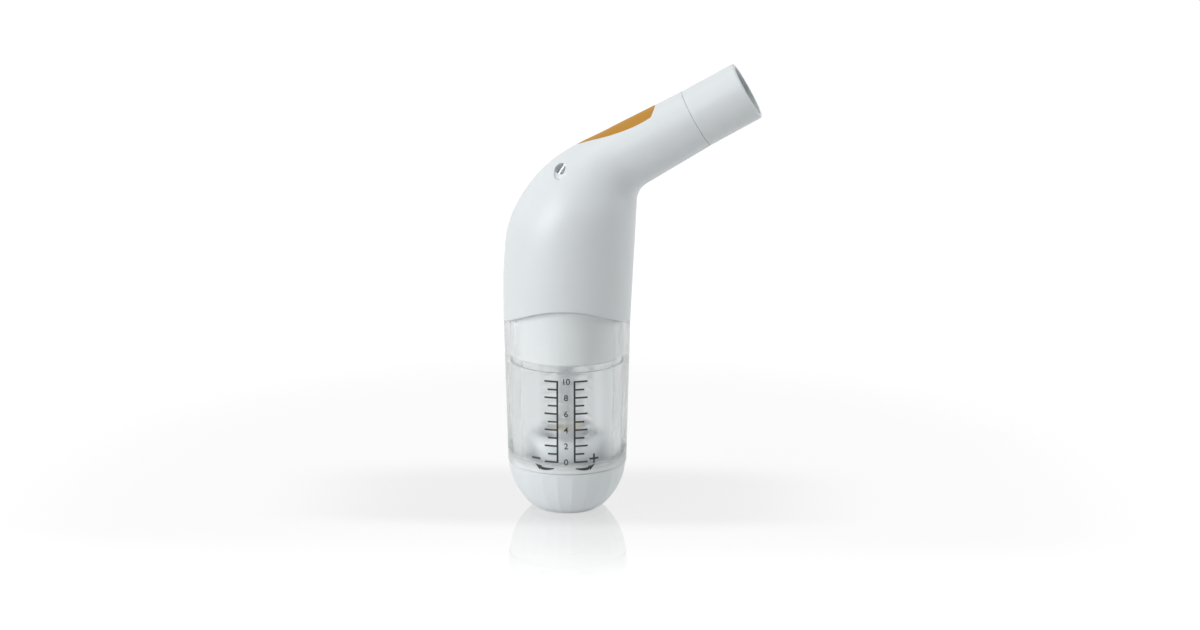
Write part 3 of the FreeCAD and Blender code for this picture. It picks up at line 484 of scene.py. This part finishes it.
def scale_rules():
    """Two upright rules with marks: long at even numbers and short at odd ones."""
    flat = bmesh.new()
    top_z = ZERO_MARK_Z + (MARKS - 1) * MARK_PITCH
    for side in (-1, 1):
        rule_x = side * RULE_OFFSET
        foot = (rule_x, ZERO_MARK_Z - RULE_BELOW)
        straight(flat, foot, (rule_x, top_z + MARK_WIDTH / 2), RULE_WIDTH)
        for mark in range(MARKS):
            z = ZERO_MARK_Z + mark * MARK_PITCH
            reach = SHORT_MARK_REACH if mark % 2 else LONG_MARK_REACH
            straight(flat, (rule_x + side * RULE_WIDTH / 2, z), (side * reach, z), MARK_WIDTH)
    return print_ink("scale_rules", flat, SCALE_SHIFT)


def scale_numbers():
    """Even numbers between the rules, 0 at the bottom and 10 at the top."""
    flat = bmesh.new()
    for mark in range(0, MARKS, 2):
        curve = bpy.data.curves.new("number", "FONT")
        curve.body = str(mark)
        curve.align_x = "CENTER"
        curve.align_y = "CENTER"
        curve.size = NUMBER_HEIGHT / DIGIT_SHARE
        curve.space_character = NUMBER_SPACING
        curve.offset = NUMBER_WEIGHT
        text = bpy.data.objects.new("number", curve)
        bpy.context.scene.collection.objects.link(text)
        bpy.context.view_layer.update()
        settled = text.evaluated_get(bpy.context.evaluated_depsgraph_get())
        mesh = bpy.data.meshes.new_from_object(settled)
        heights = [vertex.co.y for vertex in mesh.vertices]
        middle = (min(heights) + max(heights)) / 2
        for vertex in mesh.vertices:
            vertex.co.y += ZERO_MARK_Z + mark * MARK_PITCH - middle
        flat.from_mesh(mesh)
        bpy.data.objects.remove(text)
        bpy.data.curves.remove(curve)
        bpy.data.meshes.remove(mesh)
    return print_ink("scale_numbers", flat, SCALE_SHIFT)


def load_signs():
    """Minus on the left and plus on the right of the scale's foot."""
    flat = bmesh.new()
    half = SIGN_SIZE / 2
    for middle in (-SIGN_OFFSET, SIGN_OFFSET):
        straight(flat, (middle - half, SIGN_Z), (middle + half, SIGN_Z), SIGN_WIDTH)
    for way in (-1, 1):
        start = (SIGN_OFFSET, SIGN_Z + way * SIGN_WIDTH / 2)
        straight(flat, start, (SIGN_OFFSET, SIGN_Z + way * half), SIGN_WIDTH)
    return print_ink("load_signs", flat)


def arrow_height(x):
    """Height of an arrow's middle line: a shallow bow, lowest at ARROW_LOW_X."""
    if x < ARROW_LOW_X:
        share = (ARROW_LOW_X - x) / (ARROW_LOW_X - ARROW_START)
        return ARROW_LOW_Z + ARROW_START_RISE * share ** 2
    share = (x - ARROW_LOW_X) / (ARROW_END - ARROW_LOW_X)
    return ARROW_LOW_Z + ARROW_END_RISE * share ** 2


def turn_arrows():
    """Curved arrows under the scale that show which way each sign turns."""
    flat = bmesh.new()
    for side in (-1, 1):
        path = []
        widths = []
        for index in range(ARROW_STEPS + 1):
            share = index / ARROW_STEPS
            x = ARROW_START + (ARROW_END - ARROW_HEAD - ARROW_START) * share
            path.append((side * x, arrow_height(x)))
            swell = (1 - ARROW_TAIL_SHARE) * math.sin(math.pi / 2 * share)
            widths.append(ARROW_WIDTH * (ARROW_TAIL_SHARE + swell))
        stroke(flat, path, widths)
        tail = path[-1]
        tip = (side * ARROW_END, arrow_height(ARROW_END))
        way = Vector((tip[0] - tail[0], tip[1] - tail[1])).normalized()
        across = Vector((-way.y, way.x)) * ARROW_HEAD_WIDTH / 2
        corners = [
            (tail[0] + across.x, tail[1] + across.y),
            (tail[0] - across.x, tail[1] - across.y),
            tip,
        ]
        flat.faces.new([flat.verts.new((x, y, 0)) for x, y in corners])
    return print_ink("turn_arrows", flat)


# Spindle with its screw thread

def skin_rings(shape, rings):
    """Joins rings of points into a closed skin."""
    loops = [[shape.verts.new(point) for point in ring] for ring in rings]
    for low, high in zip(loops, loops[1:]):
        count = len(low)
        for index in range(count):
            after = (index + 1) % count
            shape.faces.new((low[index], low[after], high[after], high[index]))
    shape.faces.new(list(reversed(loops[0])))
    shape.faces.new(loops[-1])


def ring_at(z, radius_of):
    """One ring of points; radius_of gives the radius for each angle."""
    points = []
    for index in range(RING_SIDES):
        angle = 2 * math.pi * index / RING_SIDES
        radius = radius_of(angle)
        points.append((radius * math.cos(angle), radius * math.sin(angle), z))
    return points


def hexagon_radius(flats, limit):
    """Radius of a six-sided bar at each angle, rounded off at limit."""
    def radius_of(angle):
        local = (angle % (math.pi / 3)) - math.pi / 6
        return min(limit, flats / 2 / math.cos(local))
    return radius_of


def round_radius(radius):
    """The same radius at every angle."""
    return lambda angle: radius


def thread_radius(z, outer):
    """Left-hand trapezoidal thread: radius at each angle for height z."""
    def radius_of(angle):
        turn = (z / THREAD_LEAD + angle / (2 * math.pi)) % 1.0
        ramp = abs(turn - 0.5) * 2
        groove = min(1.0, max(0.0, (ramp - THREAD_LAND) / THREAD_FLANK))
        fade = min(1.0, (z - THREAD_FOOT) / THREAD_RUNOUT, (THREAD_TOP - z) / THREAD_RUNOUT)
        return outer - THREAD_DEPTH * groove * max(0.0, fade)
    return radius_of


def threaded_spindle():
    """Spindle with its hexagon, left-hand thread, shoulder, journal and clip groove."""
    low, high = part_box("spindle")
    outer = high.x
    drive_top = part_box("knob_socket")[1].z + DRIVE_CLEARANCE
    shoulder_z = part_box("thrust_washer")[0].z
    clip_low, clip_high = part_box("spindle_clip")
    journal = outer - JOURNAL_STEP
    groove = journal - CLIP_GROOVE_DEPTH
    edge = SPINDLE_EDGE
    six = hexagon_radius(DRIVE_FLATS, DRIVE_CORNER_RADIUS)
    rings = [
        ring_at(low.z, lambda angle: six(angle) - edge),
        ring_at(low.z + edge, six),
        ring_at(drive_top, six),
        ring_at(drive_top, round_radius(outer - edge)),
        ring_at(drive_top + edge, round_radius(outer)),
        ring_at(THREAD_FOOT, round_radius(outer)),
    ]
    count = round((THREAD_TOP - THREAD_FOOT) / RING_STEP)
    for index in range(1, count):
        z = THREAD_FOOT + (THREAD_TOP - THREAD_FOOT) * index / count
        rings.append(ring_at(z, thread_radius(z, outer)))
    rings += [
        ring_at(THREAD_TOP, round_radius(outer)),
        ring_at(shoulder_z - edge, round_radius(outer)),
        ring_at(shoulder_z, round_radius(outer - edge)),
        ring_at(shoulder_z, round_radius(journal)),
        ring_at(clip_low.z, round_radius(journal)),
        ring_at(clip_low.z, round_radius(groove)),
        ring_at(clip_high.z, round_radius(groove)),
        ring_at(clip_high.z, round_radius(journal)),
        ring_at(high.z - edge, round_radius(journal)),
        ring_at(high.z, round_radius(journal - edge)),
    ]
    shape = bmesh.new()
    skin_rings(shape, rings)
    piece = piece_from_bmesh("threaded_spindle", shape, SPINDLE_SHARP_DEG)
    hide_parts("spindle")
    return finish_piece(piece, "screw", MATERIALS["steel"])


# Load spring

def coil_loops(low, high):
    """Rings of points along the wire: a closed, ground turn at each end and open turns between."""
    middle_radius = high.x - SPRING_WIRE / 2
    bottom = low.z + SPRING_WIRE / 2
    top = high.z - SPRING_WIRE / 2
    open_turns = (top - bottom - 2 * SPRING_CLOSED_TURNS * SPRING_WIRE) / SPRING_PITCH
    turns = open_turns + 2 * SPRING_CLOSED_TURNS
    steps = round(turns * SPRING_STEPS_PER_TURN)
    loops = []
    for index in range(steps + 1):
        turn = turns * index / steps
        closed_low = min(turn, SPRING_CLOSED_TURNS)
        closed_high = max(0.0, turn - SPRING_CLOSED_TURNS - open_turns)
        opened = turn - closed_low - closed_high
        z = bottom + (closed_low + closed_high) * SPRING_WIRE + opened * SPRING_PITCH
        angle = 2 * math.pi * turn
        out = Vector((math.cos(angle), math.sin(angle), 0))
        loop = []
        for side in range(SPRING_WIRE_SIDES):
            wire = 2 * math.pi * side / SPRING_WIRE_SIDES
            point = out * (middle_radius + SPRING_WIRE / 2 * math.cos(wire))
            point.z = min(max(z + SPRING_WIRE / 2 * math.sin(wire), low.z), high.z)
            loop.append(point)
        loops.append(loop)
    return loops


def coil_length(name, loops, body):
    """One length of the coil, riding a body."""
    shape = bmesh.new()
    skin_rings(shape, loops)
    bmesh.ops.recalc_face_normals(shape, faces=shape.faces[:])
    piece = piece_from_bmesh(name, shape, SPRING_SHARP_DEG)
    return finish_piece(piece, body, MATERIALS["spring_steel"])


def coil_spring():
    """Round-wire spring in two lengths that meet: one follows the nut, one stays on the seat."""
    low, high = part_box("load_spring")
    loops = coil_loops(low, high)
    split_z = high.z - SPRING_TOP_LENGTH
    split = next(index for index, loop in enumerate(loops) if loop[0].z > split_z)
    long_part = coil_length("coil_spring", loops[:split + 1], "nut")
    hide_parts("load_spring")
    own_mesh(long_part)
    top_part = coil_length("coil_spring_top", loops[split:], "body")
    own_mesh(top_part)


# Floor, backdrop, lights and camera

FLOOR_HALF = 3.0
FLOOR_BASE = 0.72
FLOOR_WHITE = 0.9
FLOOR_GLOW = 1.13
FLOOR_NEAR_LOSS = 0.03
# SHADE_DEPTH, SHADE_FRONT, SHADE_BACK and SHADE_SIDE paint a soft grey shadow into the floor's glow
# round the part's foot
SHADE_DEPTH = 0.17
SHADE_FRONT = (-0.038, -0.012)
SHADE_BACK = (0.066, 0.024)
SHADE_SIDE = (0.14, 0.03)
MIRROR_NEAR = 0.33
MIRROR_FADE = (-0.105, -0.03)
MIRROR_REACH = (0.3, 0.15)
MIRROR_ROUGHNESS = 0.05


def seen_directly(nodes_, links):
    """1 for camera, glossy and transmission rays, and 0 for the rays that light other things."""
    path = nodes_.new("ShaderNodeLightPath")
    seen = math_node(
        nodes_, links, "MAXIMUM", path.outputs["Is Camera Ray"], path.outputs["Is Glossy Ray"])
    return math_node(nodes_, links, "MAXIMUM", seen, path.outputs["Is Transmission Ray"])


def floor_material():
    """White surface with a painted grey shadow round the foot, glow lowered a little near the part,
    and a mirror that fades to the front.
    """
    material, nodes_, links = new_material("white_floor")
    output = nodes_["Material Output"]
    shader = nodes_["Principled BSDF"]
    shader.inputs["Base Color"].default_value = (FLOOR_BASE, FLOOR_BASE, FLOOR_BASE, 1.0)
    shader.inputs["Roughness"].default_value = 0.6
    shader.inputs["Specular IOR Level"].default_value = 0.0
    coords = nodes_.new("ShaderNodeTexCoord")
    place = nodes_.new("ShaderNodeSeparateXYZ")
    links.new(coords.outputs["Object"], place.inputs[0])
    front = eased(nodes_, links, place.outputs["Y"], *SHADE_FRONT)
    back = eased(nodes_, links, place.outputs["Y"], *SHADE_BACK)
    aside = math_node(nodes_, links, "ABSOLUTE", place.outputs["X"], 0.0)
    side = eased(nodes_, links, aside, *SHADE_SIDE)
    depth = math_node(nodes_, links, "MULTIPLY", front, back)
    patch = math_node(nodes_, links, "MULTIPLY", depth, side)
    away = nodes_.new("ShaderNodeVectorMath")
    away.operation = "LENGTH"
    links.new(coords.outputs["Object"], away.inputs[0])
    near = eased(nodes_, links, away.outputs["Value"], *MIRROR_REACH)
    # The glow's strength carries the painted shadow in the patch round the foot, and is lowered a
    # little near the part
    level = math_node(nodes_, links, "SUBTRACT", eased(
        nodes_, links, patch, 0.0, 1.0, FLOOR_GLOW, FLOOR_GLOW - SHADE_DEPTH), math_node(
        nodes_, links, "MULTIPLY", near, FLOOR_NEAR_LOSS))
    glow = nodes_.new("ShaderNodeEmission")
    links.new(level, glow.inputs["Strength"])
    seen = seen_directly(nodes_, links)
    lit = nodes_.new("ShaderNodeMixShader")
    links.new(math_node(nodes_, links, "MULTIPLY", seen, FLOOR_WHITE), lit.inputs["Fac"])
    links.new(shader.outputs["BSDF"], lit.inputs[1])
    links.new(glow.outputs["Emission"], lit.inputs[2])
    gloss = nodes_.new("ShaderNodeBsdfGlossy")
    grain = noise(nodes_, links, coords, 30.0, 2.0)
    rough = between(
        nodes_, links, grain.outputs["Fac"], MIRROR_ROUGHNESS * 0.9, MIRROR_ROUGHNESS * 1.1)
    links.new(rough, gloss.inputs["Roughness"])
    fade = eased(nodes_, links, place.outputs["Y"], *MIRROR_FADE, 0.0, MIRROR_NEAR)
    mirror = nodes_.new("ShaderNodeMixShader")
    links.new(math_node(nodes_, links, "MULTIPLY", fade, near), mirror.inputs["Fac"])
    links.new(lit.outputs["Shader"], mirror.inputs[1])
    links.new(gloss.outputs["BSDF"], mirror.inputs[2])
    links.new(mirror.outputs["Shader"], output.inputs["Surface"])
    return material


def floor():
    """Large plane that the part stands on, for the picture only."""
    shape = bmesh.new()
    bmesh.ops.create_grid(shape, x_segments=8, y_segments=8, size=FLOOR_HALF)
    piece = piece_from_bmesh("floor", shape)
    piece.data.materials.append(floor_material())


WORLD_LEVEL = 0.18
WORLD_SEEN = 1.0
WORLD_COOL = (0.93, 0.985, 1.0)
WORLD_WHITE = (1.0, 1.0, 1.0)


def world():
    """A plain cool white world, brighter where the camera, gloss and clear plastic see it."""
    surroundings = bpy.data.worlds.new("studio")
    bpy.context.scene.world = surroundings
    surroundings.use_nodes = True
    nodes_ = surroundings.node_tree.nodes
    links = surroundings.node_tree.links
    background = nodes_["Background"]
    seen = seen_directly(nodes_, links)
    tint = two_tones(nodes_, links, seen, WORLD_COOL, WORLD_WHITE)
    links.new(tint, background.inputs["Color"])
    strength = nodes_.new("ShaderNodeMapRange")
    strength.inputs["To Min"].default_value = WORLD_LEVEL
    strength.inputs["To Max"].default_value = WORLD_SEEN
    links.new(seen, strength.inputs["Value"])
    links.new(strength.outputs["Result"], background.inputs["Strength"])


LIGHTS_AIM = (0.0, 0.0, 0.09)


def area_light(name, place, size, watts):
    """White rectangular light that points at LIGHTS_AIM."""
    lamp = bpy.data.lights.new(name, "AREA")
    lamp.shape = "RECTANGLE"
    lamp.size, lamp.size_y = size
    lamp.energy = watts
    holder = bpy.data.objects.new(name, lamp)
    bpy.context.scene.collection.objects.link(holder)
    holder.location = place
    holder.rotation_euler = (Vector(LIGHTS_AIM) - Vector(place)).to_track_quat("-Z", "Y").to_euler()


def lights():
    """Place, size and watts of each softbox."""
    area_light("key_softbox", (-0.95, -0.8, 0.62), (0.8, 0.9), 11.1)
    area_light("right_softbox", (1.1, 0.15, 0.45), (0.5, 0.9), 3.8)
    area_light("top_softbox", (-0.1, 0.1, 1.2), (0.9, 0.9), 4.7)


def camera():
    """The photograph's own view."""
    azimuth = math.radians(CAMERA_AZIMUTH_DEG)
    elevation = math.radians(CAMERA_ELEVATION_DEG)
    away = Vector((
        math.sin(azimuth) * math.cos(elevation),
        -math.cos(azimuth) * math.cos(elevation),
        math.sin(elevation),
    ))
    lens = bpy.data.cameras.new("camera")
    lens.sensor_width = SENSOR_WIDTH
    lens.lens = LENS
    lens.clip_end = CAMERA_CLIP_END
    view = bpy.data.objects.new("camera", lens)
    bpy.context.scene.collection.objects.link(view)
    view.location = CAMERA_TARGET + away * CAMERA_DISTANCE
    view.rotation_euler = (-away).to_track_quat("-Z", "Y").to_euler()
    bpy.context.scene.camera = view


camera()
world()
lights()
floor()
dress_frame()
scale_rules()
scale_numbers()
load_signs()
turn_arrows()
threaded_spindle()
coil_spring()
bpy.context.scene.view_settings.view_transform = "Standard"
